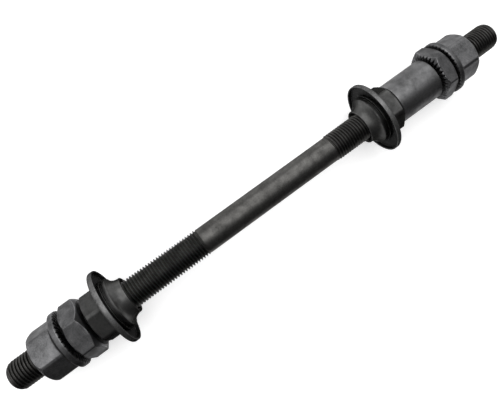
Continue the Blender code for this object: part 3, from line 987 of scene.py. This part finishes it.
# %% Two axle nuts
NUT_FLATS = 15.0 * MM
NUT_CORNER = 8.4 * MM
NUT_CROWN = 1.9 * MM
NUT_END = 5.6 * MM
FLANGE_RADIUS = 9.45 * MM
FLANGE_RIM = 1.7 * MM
# How much narrower the flange gets for each 1 that it rises
FLANGE_SLOPE = 1.6
FLANGE_ROUND = 0.2 * MM
FLANGE_BEVEL = 0.3 * MM
FLANGE_FACE = 9.15 * MM
FLANGE_FILLET = 0.3 * MM
# How far above the flange's cone the flats still bend into it, and where the lighter hexagon starts
JOIN_HEIGHT = 1.6 * MM
LIGHTER_HEXAGON_FROM = 0.25 * MM
CROWN_ROWS = 18
LEFT_NUT_ANGLE = 16.0
RIGHT_NUT_ANGLE = 30.0


def nut_section(tall):
    wide, start = NUT_CORNER - NUT_END, tall - NUT_CROWN
    crown = arc(NUT_END, start, wide, 90.0, 0.0, CROWN_ROWS, rise=NUT_CROWN)
    cone_top = FLANGE_RIM + (FLANGE_RADIUS - NUT_CORNER) / FLANGE_SLOPE
    profile = section(
        (BORE, tall, ROUND, 1),
        *crown,
        (NUT_CORNER, cone_top + JOIN_HEIGHT, 0.0, 10),
        (NUT_CORNER, cone_top, 0.0, 6),
        (FLANGE_RADIUS, FLANGE_RIM, FLANGE_ROUND, 2),
        (FLANGE_RADIUS, FLANGE_BEVEL, FLANGE_ROUND, 4),
        (FLANGE_FACE, 0.0, ROUND, 5),
        (BORE + COUNTERSINK, 0.0, ROUND, 1),
        (BORE, COUNTERSINK, ROUND, 1),
    )
    mark_thin_coat_and_painted_light(profile, lambda r, z: z > cone_top + LIGHTER_HEXAGON_FROM)
    return profile


def make_axle_nut(node, side, corner):
    tall = height(node)
    return turn_piece(
        f"dressed_{node}", node, side, nut_section(tall), NUT_STEEL, corner, NUT_COLUMNS,
        across_flats=NUT_FLATS, flats_from=FLANGE_RIM, flats_to=tall + BEYOND,
        chamfered_below=NUT_CORNER - NEARLY, collar_radius=FLANGE_RADIUS,
        collar_height=FLANGE_RIM, collar_slope=FLANGE_SLOPE, fillet=FLANGE_FILLET,
        tooth_count=TEETH, tooth_depth=TOOTH_DEPTH, tooth_start=TOOTH_START,
        toothed_face=0.0, tooth_side=1.0,
    )


left_axle_nut = make_axle_nut("left_axle_nut", LEFT, LEFT_NUT_ANGLE)
right_axle_nut = make_axle_nut("right_axle_nut", RIGHT, RIGHT_NUT_ANGLE)

# %% [markdown]
# ## Riding on the bodies
#
# Each dressed piece now joins the body of the solid that it stands for, so a nut that is
# backed off takes its fine teeth with it, and a cone takes its cap.

# %% Pieces to bodies
RIDERS = {
    "axle": [axle],
    "left_cone": [left_cone, left_cap],
    "left_locknut": [left_locknut],
    "left_axle_nut": [left_axle_nut],
    "right_cone": [right_cone, right_cap],
    "right_spacer": [right_spacer],
    "right_locknut": [right_locknut],
    "right_axle_nut": [right_axle_nut],
}
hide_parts("axle")
for body, pieces in RIDERS.items():
    for piece in pieces:
        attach(piece, body)
print("Pieces:", sum(len(pieces) for pieces in RIDERS.values()))

# %% [markdown]
# ## Floor, light and camera
#
# Dark steel shows its shape by what it mirrors, more than by light and shade. So the studio
# is a pale room, with one broad soft lamp on the side of the axle that should shine, and a
# black card on the other side, which only the reflections see. The card draws the dark band
# along the shaft and on the facets that lean away from the lamp.

# %% Floor
FLOOR_SIDE = 6.0
FLOOR_COLOUR = (0.93, 0.93, 0.93, 1.0)
FLOOR_ROUGHNESS = 0.9
# How much light the camera and reflections see the floor give off
FLOOR_GLOW = 0.3
WHITE = (1.0, 1.0, 1.0, 1.0)
floor_height = FRAME_LOW.z
bpy.ops.mesh.primitive_plane_add(size=FLOOR_SIDE, location=(0.0, 0.0, floor_height))
floor = bpy.context.object
floor.name = "floor"
floor_material = bpy.data.materials.new("pale_floor")
floor_material.use_nodes = True
floor_shader = floor_material.node_tree.nodes["Principled BSDF"]
floor_shader.inputs["Base Color"].default_value = FLOOR_COLOUR
floor_shader.inputs["Roughness"].default_value = FLOOR_ROUGHNESS
floor_shader.inputs["Specular IOR Level"].default_value = 0.0
floor_shader.inputs["Emission Color"].default_value = WHITE
floor_nodes = Tree(floor_material.node_tree)
ray = floor_nodes.add("ShaderNodeLightPath").outputs
seen = floor_nodes.math("MAXIMUM", ray["Is Camera Ray"], ray["Is Glossy Ray"])
seen = floor_nodes.math("MAXIMUM", seen, ray["Is Transmission Ray"])
glow = floor_nodes.math("MULTIPLY", seen, FLOOR_GLOW)
floor_nodes.feed(floor_shader.inputs["Emission Strength"], glow)
floor.data.materials.append(floor_material)
print(f"Floor at {floor_height / MM:.1f} mm")

# %% Room and lamp
ROOM_LEVEL = 0.82
LAMP_SIDE = 0.8
LAMP_LEVEL = 1.35
LAMP_PLACE = Vector((0.28, -0.03, 0.5))

world = bpy.data.worlds.new("pale_room")
world.use_nodes = True
room = world.node_tree.nodes["Background"]
room.inputs["Color"].default_value = WHITE
room.inputs["Strength"].default_value = ROOM_LEVEL
bpy.context.scene.world = world

lamp_data = bpy.data.lights.new("soft_lamp", "AREA")
lamp_data.size = LAMP_SIDE
lamp_data.energy = LAMP_LEVEL * math.pi * LAMP_SIDE ** 2
lamp = bpy.data.objects.new("soft_lamp", lamp_data)
bpy.context.scene.collection.objects.link(lamp)
lamp.location = LAMP_PLACE
lamp.rotation_euler = (-LAMP_PLACE).to_track_quat("-Z", "Y").to_euler()
lamp.visible_camera = False
print(f"Lamp energy {lamp_data.energy:.2f} W")

# %% Black card
# The ends of the card's foot and of its top. It leans away from the axle, on the dark side
CARD_EDGES = (
    (Vector((0.06, 0.6, floor_height)), Vector((-0.135, -0.6, floor_height))),
    (Vector((-0.26, 0.6, 0.42)), Vector((-0.14, -0.6, 0.42))),
)
CARD_COLUMNS = 12
CARD_TONE = 0.1

card_material = bpy.data.materials.new("black_card")
card_material.use_nodes = True
card_shader = card_material.node_tree.nodes["Principled BSDF"]
card_shader.inputs["Base Color"].default_value = (CARD_TONE, CARD_TONE, CARD_TONE, 1.0)
card_shader.inputs["Specular IOR Level"].default_value = 0.0


def black_card(name, foot, top):
    """Card between two straight edges, that only reflections see."""
    points = [a.lerp(b, i / CARD_COLUMNS) for i in range(CARD_COLUMNS + 1) for a, b in (foot, top)]
    faces = [(2 * i, 2 * i + 1, 2 * i + 3, 2 * i + 2) for i in range(CARD_COLUMNS)]
    mesh = bpy.data.meshes.new(name)
    mesh.from_pydata(points, [], faces)
    mesh.materials.append(card_material)
    card = bpy.data.objects.new(name, mesh)
    bpy.context.scene.collection.objects.link(card)
    card.visible_camera = False
    card.visible_diffuse = False
    card.visible_shadow = False
    return card


black_card("side_card", *CARD_EDGES)
print(f"Card: {CARD_COLUMNS} strips")

# %% [markdown]
# ## The camera
#
# The photograph looks almost straight down on the axle from about 16 cm away, leaning a
# little towards the right end, and is turned so that the axle climbs to the upper right. The
# camera is built from those facts: which way it looks, and which way the axle runs in the
# picture.

# %% Camera
CAMERA_PLACE = Vector((0.004, 0.024, 0.15465))
LEAN = math.radians(8.58)
AXLE_CLIMB = math.radians(35.76)
LENS_PIXELS = 485.0
PICTURE = (500.0, 412.0)
SENSOR = 36.0
MIDDLE_PIXEL = (263.3, 182.4)
NEAREST = 10.0 * MM

along = Vector((0.0, -math.cos(LEAN), math.sin(LEAN)))
aside = Vector((1.0, 0.0, 0.0))
picture_right = along * math.cos(AXLE_CLIMB) - aside * math.sin(AXLE_CLIMB)
picture_up = along * math.sin(AXLE_CLIMB) + aside * math.cos(AXLE_CLIMB)
backwards = Vector((0.0, math.sin(LEAN), math.cos(LEAN)))
camera_data = bpy.data.cameras.new("camera")
camera_data.sensor_width = SENSOR
camera_data.lens = LENS_PIXELS / PICTURE[0] * SENSOR
camera_data.shift_x = (PICTURE[0] / 2.0 - MIDDLE_PIXEL[0]) / PICTURE[0]
camera_data.shift_y = (MIDDLE_PIXEL[1] - PICTURE[1] / 2.0) / PICTURE[0]
camera_data.clip_start = NEAREST
camera = bpy.data.objects.new("camera", camera_data)
bpy.context.scene.collection.objects.link(camera)
turned = Matrix((picture_right, picture_up, backwards)).transposed().to_4x4()
camera.matrix_world = Matrix.Translation(CAMERA_PLACE) @ turned
bpy.context.scene.camera = camera
bpy.context.scene.view_settings.view_transform = "Standard"
print(f"Lens {camera_data.lens:.1f} mm, shift {camera_data.shift_x:.3f}, {camera_data.shift_y:.3f}")
